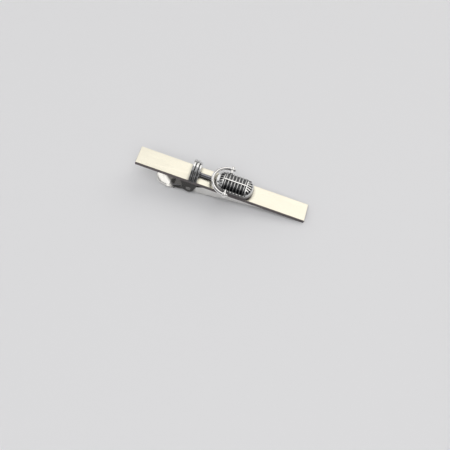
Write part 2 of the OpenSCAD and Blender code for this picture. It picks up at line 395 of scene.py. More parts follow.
def cut_level(obj):
    """Keeps what stands above the bar's top face and closes the cut."""
    bm = bmesh.new()
    bm.from_mesh(obj.data)
    everything = bm.verts[:] + bm.edges[:] + bm.faces[:]
    bmesh.ops.bisect_plane(bm, geom=everything, plane_co=(0, 0, 0), plane_no=(0, 0, -1),
                           clear_outer=True)
    bmesh.ops.holes_fill(bm, edges=[e for e in bm.edges if e.is_boundary], sides=0)
    bmesh.ops.recalc_face_normals(bm, faces=bm.faces)
    bm.to_mesh(obj.data)
    bm.free()


def seat(obj, material, body="bar", stands_for=(), smooth=32):
    """Finishes a piece: carries it to the row frame, shades it and says what it rides on."""
    obj.data.transform(BAR)
    obj.data.polygons.foreach_set("use_smooth", [True] * len(obj.data.polygons))
    obj.data.set_sharp_from_angle(angle=math.radians(smooth))
    weighted = obj.modifiers.new("flat_faces_stay_flat", "WEIGHTED_NORMAL")
    weighted.keep_sharp = True
    bake(obj)
    obj.data.materials.clear()
    obj.data.materials.append(material)
    if stands_for:
        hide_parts(*stands_for)
    if body:
        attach(obj, body)
    return obj


# ---------------------------------------------------------------- materials

def node_of(tree, kind, **values):
    """A shader node with its properties and input defaults set by name."""
    node = tree.nodes.new(kind)
    for key, value in values.items():
        if key in node.inputs:
            node.inputs[key].default_value = value
        else:
            setattr(node, key, value)
    return node


def set_or_link(tree, socket, value):
    """Feeds an input from an output socket, or sets it to a value."""
    if isinstance(value, bpy.types.NodeSocket):
        tree.links.new(value, socket)
    else:
        socket.default_value = value


def mixed(tree, share, first, second, blend="MIX"):
    """A share of the second colour over the first. Each is an output socket or a value."""
    mix = node_of(tree, "ShaderNodeMix", data_type="RGBA", blend_type=blend)
    colours = [s for s in mix.inputs if s.type == "RGBA"]
    set_or_link(tree, mix.inputs["Factor"], share)
    set_or_link(tree, colours[0], first)
    set_or_link(tree, colours[1], second)
    return [s for s in mix.outputs if s.type == "RGBA"][0]


def ranged(tree, value, low, high, to_low=0.0, to_high=1.0):
    """A value carried from low..high to another range."""
    share = node_of(tree, "ShaderNodeMapRange", **{"From Min": low, "From Max": high,
                                                   "To Min": to_low, "To Max": to_high})
    tree.links.new(value, share.inputs["Value"])
    return share.outputs["Result"]


def reach_along(tree, vector, direction):
    """How far a vector output reaches along a fixed direction."""
    product = node_of(tree, "ShaderNodeVectorMath", operation="DOT_PRODUCT")
    product.inputs[1].default_value = direction
    tree.links.new(vector, product.inputs[0])
    return product.outputs["Value"]


def toned(tree, coloured, value, dark, bright, tint):
    """Mixes from a tint to the coloured socket as value goes from dark to bright."""
    return mixed(tree, ranged(tree, value, dark, bright), (*tint, 1), coloured)


def painted_root_shade(tree, coloured, position, tint):
    """Painted shade on the lever's root, which lies under the bar: a darker tone between its bright tab
    and its bright jaw.
    """
    near_tab, near_jaw = ROOT_FADE
    jaw_side = toned(tree, coloured, reach_along(tree, position, (1, 0, 0)),
                     ROOT_END * MM, (ROOT_END + near_jaw) * MM, tint)
    tab_side = toned(tree, coloured, reach_along(tree, position, (1, ROOT_SLANT, 0)),
                     (ROOT_START + near_tab) * MM, (ROOT_START - near_tab) * MM, tint)
    return mixed(tree, 1.0, jaw_side, tab_side, "LIGHTEN")


def shade_painted_in_hollows(tree, coloured, amount, reach):
    """Painted shade: darkens folds, corners and gaps that have something within reach, in millimetres.
    """
    hollow = node_of(tree, "ShaderNodeAmbientOcclusion", samples=6, Distance=reach * MM)
    depth = ranged(tree, hollow.outputs["AO"], *HOLLOW_RANGE, amount, 0.0)
    return mixed(tree, depth, coloured, (*HOLLOW_SHADE_COLOUR, 1))


def metal(name, colour, worn, roughness, spread, grain=(1, 1, 1), scratch=0.25, hollow_shade=0.0,
          hollow_shade_reach=0.4, shade=None, root=None):
    """A plated metal: two close tones in clouds, streaked roughness, fine bump and painted shade in
    folds.

    grain stretches the streaks along X, Y and Z, and hollow_shade is how dark the painted shade
    gets in corners within hollow_shade_reach millimetres. shade is (direction, dark, bright, tone):
    painted shade, in which faces turned from that direction of the bar take the darker tone, for the
    shade and dark reflections they get. root is the painted shade on the lever's root, as a darker tone."""
    material = bpy.data.materials.new(name)
    material.use_nodes = True
    tree = material.node_tree
    tree.nodes.clear()
    link = tree.links.new
    output = node_of(tree, "ShaderNodeOutputMaterial")
    shader = node_of(tree, "ShaderNodeBsdfPrincipled", Metallic=1.0)
    place = node_of(tree, "ShaderNodeTexCoord")
    level = node_of(tree, "ShaderNodeMapping", Rotation=(0, -BAR.to_euler().y, 0))
    stretch = node_of(tree, "ShaderNodeMapping", Scale=grain)
    clouds = node_of(tree, "ShaderNodeTexNoise", Scale=CLOUD_SCALE, Detail=3.0, Roughness=0.55)
    streaks = node_of(tree, "ShaderNodeTexNoise", Scale=STREAK_SCALE, Detail=4.0, Roughness=0.6)
    link(place.outputs["Object"], level.inputs["Vector"])
    link(level.outputs["Vector"], stretch.inputs["Vector"])
    link(level.outputs["Vector"], clouds.inputs["Vector"])
    link(stretch.outputs["Vector"], streaks.inputs["Vector"])

    coloured = mixed(tree, clouds.outputs["Fac"], (*colour, 1), (*worn, 1))
    # Painted shade: faces turned from the given direction take a darker tone, for the shade and dark
    # reflections they get
    if shade:
        direction, dark, bright, tint = shade
        facing = reach_along(tree, place.outputs["Normal"],
                             (BAR.to_3x3() @ Vector(direction)).normalized())
        coloured = toned(tree, coloured, facing, dark, bright, tint)
    # Painted shade on the lever's root, where it lies under the bar
    if root:
        coloured = painted_root_shade(tree, coloured, place.outputs["Object"], root)
    # Painted shade in folds, corners and gaps
    if hollow_shade > 0:
        coloured = shade_painted_in_hollows(tree, coloured, hollow_shade, hollow_shade_reach)
    link(coloured, shader.inputs["Base Color"])

    rough = ranged(tree, streaks.outputs["Fac"], 0.3, 0.7, roughness, roughness + spread)
    link(rough, shader.inputs["Roughness"])
    bump = node_of(tree, "ShaderNodeBump", Strength=scratch, Distance=BUMP_HEIGHT)
    link(streaks.outputs["Fac"], bump.inputs["Height"])
    link(bump.outputs["Normal"], shader.inputs["Normal"])
    link(shader.outputs["BSDF"], output.inputs["Surface"])
    return material


def make_materials():
    """One material for each slot of the record, and a second one for the head's end caps."""
    up, back = (0, 0, 1), (0, 1, 0)
    # In these materials the darkening of folds and corners is painted shade
    return {
        # Painted shade: the bar's sides and underside take a darker tone
        "satin_bar": metal("satin_bar", (0.94, 0.905, 0.775), (0.89, 0.85, 0.72), 0.25, 0.14,
                           grain=(0.05, 3, 3), scratch=0.22, hollow_shade=0.7, hollow_shade_reach=1.1,
                           shade=(up, 0.45, 0.9, (0.17, 0.15, 0.15))),
        # The plate's dark colour is painted shade: its ears lie under the bar in its shadow
        "clasp_plate": metal("clasp_plate", (0.11, 0.106, 0.102), (0.06, 0.058, 0.056), 0.2, 0.16,
                             scratch=0.3, hollow_shade=0.7, hollow_shade_reach=0.8),
        # The lever's root gets painted shade, as it lies under the bar
        "clasp_lever": metal("clasp_lever", (0.93, 0.92, 0.89), (0.84, 0.83, 0.80), 0.12, 0.12,
                             grain=(0.2, 1, 1), scratch=0.3, hollow_shade=0.6, hollow_shade_reach=0.8,
                             root=(0.12, 0.115, 0.11)),
        # The pin's dark colour is painted shade too: it sits between the ears under the bar
        "pin_steel": metal("pin_steel", (0.30, 0.29, 0.28), (0.20, 0.195, 0.19), 0.2, 0.15,
                           scratch=0.4, hollow_shade=0.5),
        "spring_steel": metal("spring_steel", (0.48, 0.48, 0.48), (0.30, 0.30, 0.31), 0.25, 0.15,
                              scratch=0.3, hollow_shade=0.6),
        # Painted shade: the discs' faces turned to the front take a darker tone
        "stand_metal": metal("stand_metal", (0.84, 0.84, 0.83), (0.68, 0.68, 0.68), 0.1, 0.1,
                             scratch=0.25, hollow_shade=0.97, hollow_shade_reach=0.45,
                             shade=(back, -0.9, -0.6, (0.10, 0.10, 0.10))),
        "stem_metal": metal("stem_metal", (0.34, 0.34, 0.36), (0.20, 0.20, 0.22), 0.14, 0.12,
                            scratch=0.25, hollow_shade=0.7, hollow_shade_reach=0.6),
        "yoke_metal": metal("yoke_metal", (0.95, 0.94, 0.92), (0.88, 0.87, 0.86), 0.1, 0.1,
                            scratch=0.2, hollow_shade=0.4, hollow_shade_reach=0.3),
        # Painted shade: the belt's sides take a darker tone than its top
        "head_metal": metal("head_metal", (0.66, 0.65, 0.65), (0.46, 0.45, 0.45), 0.14, 0.14,
                            scratch=0.3, hollow_shade=0.8, hollow_shade_reach=0.8,
                            shade=(up, 0.3, 0.85, (0.11, 0.10, 0.10))),
        # Painted shade: the ribs' faces turned to the front take a darker tone
        "grille_metal": metal("grille_metal", (0.74, 0.74, 0.73), (0.58, 0.58, 0.57), 0.12, 0.12,
                              scratch=0.25, hollow_shade=0.95, hollow_shade_reach=0.45,
                              shade=(back, -0.4, 0.02, (0.15, 0.15, 0.15))),
        # Painted shade: the caps' faces turned to the front take a darker tone
        "cap_metal": metal("cap_metal", (0.90, 0.90, 0.89), (0.76, 0.76, 0.75), 0.12, 0.12,
                           scratch=0.25, hollow_shade=0.8, hollow_shade_reach=0.3,
                           shade=(back, -1.0, -0.6, (0.3, 0.3, 0.3))),
        # Painted shade: the core's faces turned to the front take a darker tone still
        "black_enamel": metal("black_enamel", (0.15, 0.15, 0.155), (0.08, 0.08, 0.085), 0.25, 0.15,
                              scratch=0.3, shade=(back, -0.3, 0.15, (0.012, 0.012, 0.014))),
    }


# ---------------------------------------------------------------- bar and clasp

def build_bar(materials):
    """The bar: a flat plated blank with eased edges."""
    low, high = span("tie_bar")
    bar = new_mesh("tie_bar_blank", [block(low, high)])
    soften(bar, BAR_EASE, 4)
    seat(bar, materials["satin_bar"], "bar", ["tie_bar"])


def fold_row(x, base, half, edge, bend, relief=None, lean=0.0):
    """Points across a folded sheet at one X: wall, bend, flat, bend and wall.

    relief(x, y) raises the sheet, and lean draws the walls together by that share of height."""
    rise = edge - base
    r = min(bend, abs(rise), half)
    up = 1 if rise >= 0 else -1
    right = [(y, base) for y in np.linspace(0, max(half - r, 0), 15)[:-1]]
    for a in np.linspace(0, math.pi / 2, 6):
        right.append((half - r + r * math.sin(a), base + up * (r - r * math.cos(a))))
    right += [(half, z) for z in np.linspace(base + up * r, edge, 5)[1:]]
    if relief:
        right = [(y, z + relief(x, y)) for y, z in right]
    right = [(max(y - lean * abs(z - base), 0), z) for y, z in right]
    left = [(x, -y, z) for y, z in reversed(right[1:])]
    return left + [(x, y, z) for y, z in right]


def folded_sheet(name, rows, thickness, outside):
    """A sheet folded into a channel; rows are its outer face and outside is the flat's normal in Z."""
    verts, faces = skin_grid(rows)
    obj = new_mesh(name, [(verts, faces)], closed=False)
    bm = bmesh.new()
    bm.from_mesh(obj.data)
    bmesh.ops.recalc_face_normals(bm, faces=bm.faces)
    flat = sum(f.normal.z * f.calc_area() for f in bm.faces if abs(f.normal.z) > 0.7)
    if flat * outside < 0:
        bmesh.ops.reverse_faces(bm, faces=bm.faces)
    bm.to_mesh(obj.data)
    bm.free()
    solid = obj.modifiers.new("sheet", "SOLIDIFY")
    solid.thickness = thickness
    solid.offset = -1
    solid.use_even_offset = True
    bake(obj)
    return obj


def line_height(line, x):
    """Height of a side outline at X."""
    return float(np.interp(x, [p[0] for p in line], [p[1] for p in line]))


def saw_teeth(tip_x, grip_z):
    """The jaw's teeth, as (X, Z) from their first root to the tip."""
    last = tip_x - TIP_LAND
    count = int((last - TEETH_START) / TOOTH_PITCH)
    saw = []
    for i in reversed(range(count)):
        point = last - TOOTH_PITCH * (i + 0.5)
        saw += [(point - TOOTH_PITCH / 2 + TOOTH_FLAT, grip_z - TOOTH_DEPTH), (point, grip_z)]
    saw += [(last - TOOTH_FLAT, grip_z - TOOTH_DEPTH), (tip_x - 0.25, grip_z), (tip_x, grip_z)]
    return saw


def lever_edge(hinge, tip_x):
    """Top edge of the lever's walls from the thumb tab to the jaw's tip, as (X, Z)."""
    edge = EDGE_ROOT + arc(hinge, PIVOT_RADIUS, 160, 60, 9) + EDGE_JAW
    return edge + saw_teeth(tip_x, span("tie_bar")[0][2] - GRIP_GAP)


def lever_stations(line, walls, start_x, tip_x):
    """Every X at which the lever needs a row of points."""
    tab = [start_x + TAB_RADIUS * (1 - math.cos(a))
           for a in np.linspace(TAB_NOSE_ANGLE, math.pi / 2, 20)]
    nose = [tip_x - NOSE_RADIUS * (1 - math.cos(a)) for a in np.linspace(0, math.pi / 2, 8)]
    even = list(np.arange(start_x, tip_x, STATION_PITCH))
    return sorted({round(x, 4) for x in [p[0] for p in line + walls] + even + tab + nose})


def build_lever():
    """The jaw lever: one stamped sheet with a spoon-shaped thumb tab and a toothed channel jaw."""
    hinge = hinge_point()
    start_x, tip_x = LEVER_LINE[0][0], LEVER_LINE[-1][0]
    line = rounded(LEVER_LINE, LEVER_CURVES, 8)
    walls = lever_edge(hinge, tip_x)
    rows = []
    for x in lever_stations(line, walls, start_x, tip_x):
        base = line_height(line, x)
        half = lever_half(x, start_x, tip_x)
        edge = line_height(walls, x) if x > walls[0][0] else base
        lean = WALL_LEAN * float(np.interp(x, LEAN_SPAN, [0, 1]))
        rows.append(fold_row(x, base, half, max(edge, base), LEVER_BEND, tab_relief, lean))
    lever = folded_sheet("jaw_lever_sheet", rows, SHEET, -1)
    notch_cut(lever, line)
    hole = [(-LEVER_WIDTH, 0), (-LEVER_WIDTH, PIN_HOLE), (LEVER_WIDTH, PIN_HOLE), (LEVER_WIDTH, 0)]
    combine_shape(lever, lathe(hole, "y", hinge, 32), "DIFFERENCE")
    return lever


def tab_relief(x, y):
    """The thumb tab's form: a shallow spoon."""
    centre_x = LEVER_LINE[0][0] + TAB_RADIUS
    out = math.hypot(x - centre_x, y) / TAB_RADIUS if x < centre_x else abs(y) / TAB_RADIUS
    share = float(np.interp(x, SPOON_SPAN, [1, 0]))
    fade = share * share * (3 - 2 * share)
    return SPOON_DEPTH * min(out, 1.0) ** 2 * fade


def lever_half(x, start_x, tip_x):
    """Half the lever's width at X: round tab with a blunt nose, straight sides, rounded tip."""
    half = LEVER_WIDTH / 2
    tab_centre = start_x + TAB_RADIUS
    if x < tab_centre:
        return math.sqrt(max(TAB_RADIUS ** 2 - (x - tab_centre) ** 2, TAB_NOSE_SQUARED))
    narrow = np.clip((x - tab_centre - TAB_TO_NECK) / NECK_LENGTH, 0, 1)
    width = TAB_RADIUS + (half - TAB_RADIUS) * narrow * narrow * (3 - 2 * narrow)
    into = x - (tip_x - NOSE_RADIUS)
    if into > 0:
        width -= NOSE_RADIUS - math.sqrt(max(NOSE_RADIUS ** 2 - into ** 2, 0))
    return width


def notch_cut(lever, line):
    """Cuts the row of round notches along both lower corners of the jaw."""
    half = LEVER_WIDTH / 2
    for i in range(NOTCHES):
        x = NOTCH_START + NOTCH_PITCH * i
        z = line_height(line, x)
        for side in (-1, 1):
            ends = sorted((side * (half - NOTCH_INSET), side * (half + 1)))
            profile = [(ends[0], 0), (ends[0], NOTCH_RADIUS), (ends[1], NOTCH_RADIUS), (ends[1], 0)]
            combine_shape(lever, lathe(profile, "y", (x, z), 24), "DIFFERENCE")


def build_clasp_base():
    """The clasp's base: a plate under the bar with two rounded ears folded down round the pin."""
    low, high = span("clasp_base")
    hx, hz = hinge_point()
    top = high[2]
    across, down = EAR_FILLET
    fold = [(low[0], top), (hx - EAR_TAB_SIDE - across, top), (hx - EAR_TAB_SIDE, top - down),
            (hx - EAR_RADIUS, hz)]
    fold += arc((hx, hz), EAR_RADIUS, 190, 350, 21)
    fold += [(hx + EAR_RADIUS, hz), (hx + EAR_JAW_SIDE, top - down),
             (hx + EAR_JAW_SIDE + across, top), (high[0], top)]
    even = list(np.arange(low[0], high[0], EAR_STATION_PITCH))
    stations = sorted({round(x, 4) for x in [p[0] for p in fold] + even})
    rows = []
    for x in stations:
        rows.append(fold_row(x, top, high[1], min(line_height(fold, x), top), EAR_BEND))
    return folded_sheet("clasp_base_sheet", rows, EAR_SHEET, 1)


def build_pin():
    """The hinge pin: a straight pin with two peened, domed heads."""
    low, high = span("hinge_pin")
    head_r = (high[2] - low[2]) / 2
    neck = high[1] - PIN_HEAD
    profile = []
    for a in np.linspace(0, math.pi / 2, 9):
        profile.append((high[1] - PIN_HEAD * (1 - math.cos(a)), head_r * math.sin(a)))
    profile += [(neck - 0.02, head_r - 0.03), (neck - 0.03, PIN_RADIUS)]
    profile += [(-y, r) for y, r in reversed(profile)]
    return new_mesh("hinge_pin_peened", [lathe(profile, "y", hinge_point(), 48)])


def leg_angle(end, hinge, side):
    """Angle on the coil at which a straight leg to a point leaves it, on one side or the other."""
    dx, dz = end[0] - hinge[0], end[1] - hinge[1]
    return math.atan2(dz, dx) + side * math.acos(COIL_RADIUS / math.hypot(dx, dz))


def leg(start, end, stops):
    """Points of a straight leg from one place to another, at these shares of the way."""
    return [np.array(start) * (1 - t) + np.array(end) * t for t in stops]


def build_spring():
    """The torsion spring: a close coil round the pin, one leg under the bar, one on the lever."""
    hx, hz = hinge_point()
    plate_z = span("clasp_base")[1][2] - LEG_UP_DROP
    upper = (LEG_UP_X, plate_z - SPRING_WIRE / 2 - 0.02)
    start = leg_angle(upper, (hx, hz), -1)
    end = leg_angle(LEG_DOWN, (hx, hz), 1) - 2 * math.pi * COIL_TURNS
    length = SPRING_WIRE * COIL_PITCH * (start - end) / (2 * math.pi)
    coil = []
    steps = 40 * COIL_TURNS
    for i in range(steps + 1):
        a = start + (end - start) * i / steps
        coil.append((hx + COIL_RADIUS * math.cos(a), length * (0.5 - i / steps),
                     hz + COIL_RADIUS * math.sin(a)))
    head = leg((upper[0], coil[0][1], upper[1]), coil[0], np.linspace(0, 0.98, 10))
    tail = leg(coil[-1], (LEG_DOWN[0], coil[-1][1], LEG_DOWN[1]), np.linspace(0.02, 1, 14))
    return new_mesh("torsion_spring_wire", [wire(head + coil + tail, SPRING_WIRE / 2, 14)])


def build_clasp(materials):
    """Every piece of the clasp, on its body, but the spring, which is left in the row frame."""
    lever = build_lever()
    soften(lever, 0.05, 2, 60)
    seat(lever, materials["clasp_lever"], "lever", ["jaw_lever"])
    base = build_clasp_base()
    soften(base, 0.07, 2, 40)
    seat(base, materials["clasp_plate"], "bar", ["clasp_base"])
    seat(build_pin(), materials["pin_steel"], "bar", ["hinge_pin"])
    spring = seat(build_spring(), materials["spring_steel"], None,
                  ["torsion_spring"])
    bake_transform(spring)


# ---------------------------------------------------------------- microphone stand

def disc_profile(x0, radius, thick, neck):
    """A rim with rounded edges and a recessed face, and the smaller neck behind it."""
    face = x0 + thick
    rim = rounded([(x0, 0), (x0, radius), (face, radius), (face, radius - DISC_LIP)],
                  [0, DISC_EDGE, DISC_EDGE, 0], 6)
    groove = radius - DISC_RING
    profile = [(x0, 0.0)] + [tuple(p) for p in rim[1:]]
    profile += [(face, groove + 0.12), (face - DISC_RECESS, groove)]
    if neck:
        profile += [(face - DISC_RECESS, DISC_NECK), (face + neck, DISC_NECK)]
    else:
        profile += [(face - DISC_RECESS, 1.5), (face, 1.35)]
    profile.append((profile[-1][0], 0.0))
    return profile


def build_discs(materials):
    """The three stacked discs of the stand's foot."""
    names = ["stand_foot", "stand_middle_disc", "stand_top_disc"]
    starts = [span(n)[0][0] for n in names]
    for i, name in enumerate(names):
        low, high = span(name)
        thick = DISC_THICKNESS[i]
        neck = starts[i + 1] - starts[i] - thick if i < 2 else 0
        profile = disc_profile(starts[i], (high[1] - low[1]) / 2, thick, neck)
        disc = new_mesh(name + "_turned", [lathe(profile, "x", (0, DISC_AXIS), 160)])
        cut_level(disc)
        seat(disc, materials["stand_metal"], "bar", [name])


def build_stem(materials):
    """The stem that lies along the bar, with a collar at the discs and a post under the yoke."""
    low, high = span("stem")
    start, top = low[0], high[2] - 0.1
    collar = (high[1] - low[1]) / 2
    post_x = high[0] - POST_RADIUS
    profile = [(start, 0), (start, collar), (start + 0.26, collar), (start + 0.36, STEM_RADIUS + 0.15),
               (start + 0.5, STEM_RADIUS), (post_x, STEM_RADIUS), (post_x, 0)]
    profile = [tuple(p) for p in rounded(profile, [0, 0.05, 0.1, 0.06, 0.1, 0, 0], 4)]
    stem = new_mesh("stem_turned", [lathe(profile, "x", (0, STEM_AXIS), 64)])
    cut_level(stem)
    post = [(0, 0), (0, POST_RADIUS), (top - 0.5, POST_RADIUS), (top, POST_RADIUS - 0.1), (top, 0)]
    combine_shape(stem, lathe(post, "z", (post_x, 0), 40), "UNION")
    soften(stem, 0.05, 2, 40)
    seat(stem, materials["stem_metal"], "bar", ["stem"])


# ---------------------------------------------------------------- yoke

def yoke_path(pivot, radius, arm):
    """The yoke's half ring and its two straight arms, from the front arm's end to the back one's."""
    x, z = pivot
    path = [(x + arm * t, -radius, z) for t in np.linspace(1, 0.15, 5)]
    path += [(ring_x, ring_y, z) for ring_x, ring_y in arc((x, 0), radius, 270, 90, 61)]
    path += [(x + arm * t, radius, z) for t in np.linspace(0.15, 1, 5)]
    return path


def yoke_eye(pivot, radius, side):
    """The eye on one arm of the yoke."""
    eye = [(radius - EYE_HALF, 0.24), (radius - EYE_HALF, 0.62), (radius - EYE_HALF + 0.08, 0.72),
           (radius + EYE_HALF - 0.08, 0.72), (radius + EYE_HALF, 0.62), (radius + EYE_HALF, 0.24)]
    return lathe([(side * y, r) for y, r in eye], "y", pivot, 48)


def build_yoke(materials):
    """The round wire yoke with its two eyes, and the bosses and screws that hold the head in it."""
    low, high = span("yoke")
    screw_low, screw_high = span("pivot_screw_back")
    pivot = ((screw_low[0] + screw_high[0]) / 2, (screw_low[2] + screw_high[2]) / 2)
    radius = pivot[0] - low[0] - YOKE_WIRE / 2
    arm = high[0] - YOKE_WIRE / 2 - pivot[0]
    ring = wire_with_balls(yoke_path(pivot, radius, arm), YOKE_WIRE / 2)
    eyes = [yoke_eye(pivot, radius, side) for side in (-1, 1)]
    yoke = new_mesh("yoke_wire", [ring] + eyes)
    seat(yoke, materials["yoke_metal"], "bar", ["yoke"])
    for side, where in ((-1, "front"), (1, "back")):
        build_boss(materials, where, side, pivot, radius - EYE_HALF)
        build_screw(materials, where, side, pivot)


def build_boss(materials, where, side, pivot, end):
    """The boss between the head and one eye of the yoke, flared where it meets the eye."""
    boss = rounded([(BOSS_START, 0.0), (BOSS_START, BOSS_RADIUS), (end - 0.12, BOSS_RADIUS),
                    (end, BOSS_RADIUS + 0.12), (end, 0.0)], [0, 0.1, 0.1, 0.04, 0], 4)
    shape = lathe([(side * y, r) for y, r in boss], "y", pivot, 40)
    piece = new_mesh("pivot_boss_" + where + "_turned", [shape])
    seat(piece, materials["yoke_metal"], "bar", ["pivot_boss_" + where])


def wire_with_balls(path, radius):
    """A wire whose two ends are rounded off as half balls."""
    path = [Vector(p) for p in path]
    first, last = (path[0] - path[1]).normalized(), (path[-1] - path[-2]).normalized()
    stops = [math.pi / 2 * k / 7 for k in range(8)]
    balls_a = [(path[0] + first * radius * math.sin(a), math.cos(a)) for a in reversed(stops)]
    balls_b = [(path[-1] + last * radius * math.sin(a), math.cos(a)) for a in stops]
    middle = [(p, 1.0) for p in path[1:-1]]
    line = balls_a + middle + balls_b
    rows = []
    for i, (p, share) in enumerate(line):
        t = (line[min(i + 1, len(line) - 1)][0] - line[max(i - 1, 0)][0]).normalized()
        across = Vector((0, 0, 1)).cross(t).normalized()
        r = max(radius * share, 0.003)
        rows.append([p + (across * math.cos(2 * math.pi * k / 24)
                          + Vector((0, 0, 1)) * math.sin(2 * math.pi * k / 24)) * r
                     for k in range(24)])
    return closed_tube(rows)


def build_screw(materials, where, side, pivot):
    """A pivot screw: a shank, and a knob with a rounded end and a fluted rim."""
    low, high = span("pivot_screw_" + where)
    outer = max(abs(low[1]), abs(high[1]))
    inner, base = HEAD["half_w"] - 0.1, outer - KNOB_LENGTH
    profile = [(inner, 0.0), (inner, SHANK_RADIUS), (base, SHANK_RADIUS), (base, KNOB_RADIUS - 0.06),
               (base + 0.06, KNOB_RADIUS), (outer - 0.16, KNOB_RADIUS),
               (outer - 0.05, KNOB_RADIUS - 0.12), (outer, KNOB_RADIUS - 0.3), (outer, 0.0)]
    steps = 4 * FLUTES
    rows = []
    for y, r in profile:
        ring = []
        for k in range(steps):
            a = 2 * math.pi * k / steps
            flute = FLUTE_DEPTH * (math.cos(FLUTES * a) - 1) if r > 0.5 else 0.0
            fluted = max(r + flute, 1e-5)
            ring.append((pivot[0] + fluted * math.cos(a), side * y, pivot[1] + fluted * math.sin(a)))
        rows.append(ring)
    screw = new_mesh("pivot_screw_" + where + "_knob", [closed_tube(rows)])
    seat(screw, materials["yoke_metal"], "bar", ["pivot_screw_" + where])


# ---------------------------------------------------------------- microphone head

def head_sizes():
    """Middle, half length, half width and dome top of the head, in the bar's space."""
    low, high = span("head_shell")
    return {"mid": (low[0] + high[0]) / 2, "half_len": (high[0] - low[0]) / 2,
            "half_w": (high[1] - low[1]) / 2, "top": span("front_grille")[1][2]}


HEAD = head_sizes()


def outline(inset, z):
    """The head's level outline, a rounded rectangle drawn inset from its widest, at height z."""
    r = max(PLAN_RADIUS - inset, 1e-4)
    cx, cy = HEAD["half_len"] - inset - r, HEAD["half_w"] - inset - r
    cy = max(cy, 0.0)
    ring = []
    for turn, sx, sy in ((0, 1, 1), (90, -1, 1), (180, -1, -1), (270, 1, -1)):
        for k in range(17):
            a = math.radians(turn + 90 * k / 16)
            ring.append((HEAD["mid"] + sx * cx + r * math.cos(a), sy * cy + r * math.sin(a), z))
        nx, ny = {0: (-1, 1), 90: (-1, -1), 180: (1, -1), 270: (1, 1)}[turn]
        end = ring[-1]
        goal = (HEAD["mid"] + nx * cx + r * math.cos(math.radians(turn + 90)),
                ny * cy + r * math.sin(math.radians(turn + 90)), z)
        stretches = 16 if turn in (0, 180) else 2
        for k in range(1, stretches):
            t = k / stretches
            ring.append(tuple(e + (g - e) * t for e, g in zip(end, goal)))
    return ring


def dome_rings(inset, floor_z):
    """Rings of the head's dome from its foot at floor_z to its flat crown, all inset by a depth."""
    reach = HEAD["half_w"] - LEDGE
    rings = [outline(LEDGE + inset, floor_z)] if floor_z < BELT_TOP else []
    steps = 18
    for k in range(steps + 1):
        a = math.pi / 2 * k / steps
        deep = reach * (1 - max(math.cos(a), 0.0) ** (2 / DOME_POWER))
        z = BELT_TOP + (HEAD["top"] - BELT_TOP) * math.sin(a) ** (2 / DOME_POWER)
        shrink = 1 - inset / reach
        rings.append(outline(LEDGE + inset + deep * shrink, z - inset * math.sin(a)))
    return rings


def dome_profile(x):
    """Path and outward normals of the dome's surface across Y at X, from front foot to back foot."""
    reach = HEAD["half_w"] - LEDGE
    past = max(abs(x - HEAD["mid"]) - (HEAD["half_len"] - PLAN_RADIUS), 0)
    narrow = PLAN_RADIUS - LEDGE - math.sqrt(max((PLAN_RADIUS - LEDGE) ** 2 - past ** 2, 0.01))
    half = []
    steps = 22
    for k in range(steps + 1):
        a = math.pi / 2 * k / steps
        y = reach * max(math.cos(a), 0.0) ** (2 / DOME_POWER)
        z = BELT_TOP + (HEAD["top"] - BELT_TOP) * math.sin(a) ** (2 / DOME_POWER)
        half.append((y * (1 - narrow / reach), z))
    points = [(x, -y, z) for y, z in half] + [(x, y, z) for y, z in reversed(half[:-1])]
    normals = []
    for i in range(len(points)):
        a, b = points[max(i - 1, 0)], points[min(i + 1, len(points) - 1)]
        dy, dz = b[1] - a[1], b[2] - a[2]
        size = math.hypot(dy, dz)
        normals.append((0.0, -dz / size, dy / size))
    return points, normals


def dome_shell():
    """The dome's skin as one solid, before it is cut into crown, neck and rails."""
    outer = closed_tube(dome_rings(0.0, BELT_TOP))
    shell = new_mesh("shell", [outer])
    combine_shape(shell, closed_tube(dome_rings(SKIN, BELT_TOP - 0.5)), "DIFFERENCE")
    return shell


def fan(centre_x, near, far, turn):
    """Slots that spread from a point on the head's middle line, about the +X or the -X way."""
    slots = []
    for i in range(FAN_SLOTS + 1):
        angle = turn + FAN_STEP * (i - FAN_SLOTS / 2)
        slot = block((centre_x + near, -SLOT_WIDTH / 2, BELT_TOP + SLOT_FOOT),
                     (centre_x + far, SLOT_WIDTH / 2, 6))
        slots.append(turned(slot, (centre_x, 0), angle))
    return slots


def build_belt(materials):
    """The head's belt: a band with a rounded top edge, open in the middle."""
    belt = []
    for inset, z in ((0.06, 0.0), (0.0, 0.08), (0.0, BELT_TOP - 0.3), (0.03, BELT_TOP - 0.12),
                     (0.09, BELT_TOP - 0.03), (0.2, BELT_TOP), (0.46, BELT_TOP), (0.46, 0.0)):
        belt.append(outline(inset, z))
    shape = skin_grid(belt, close_rows=True, close_columns=True)
    shell = new_mesh("head_belt", [shape])
    seat(shell, materials["head_metal"], "bar", ["head_shell"])


def build_cap(materials, name, keep, slotted, slots):
    """An end cap of the dome between two X, with its fan of slots between two others."""
    cap = dome_shell()
    combine_shape(cap, block((keep[0], -CUT_WIDTH, 0), (keep[1], CUT_WIDTH, CUT_WIDTH)), "INTERSECT")
    zone = block((slotted[0], -CUT_WIDTH, 0), (slotted[1], CUT_WIDTH, CUT_WIDTH))
    for slot in slots:
        cutter = new_mesh("slot", [slot])
        combine_shape(cutter, zone, "INTERSECT")
        combine(cap, cutter, "DIFFERENCE")
    soften(cap, 0.045, 2, 40)
    seat(cap, materials["cap_metal"], "bar", [name])


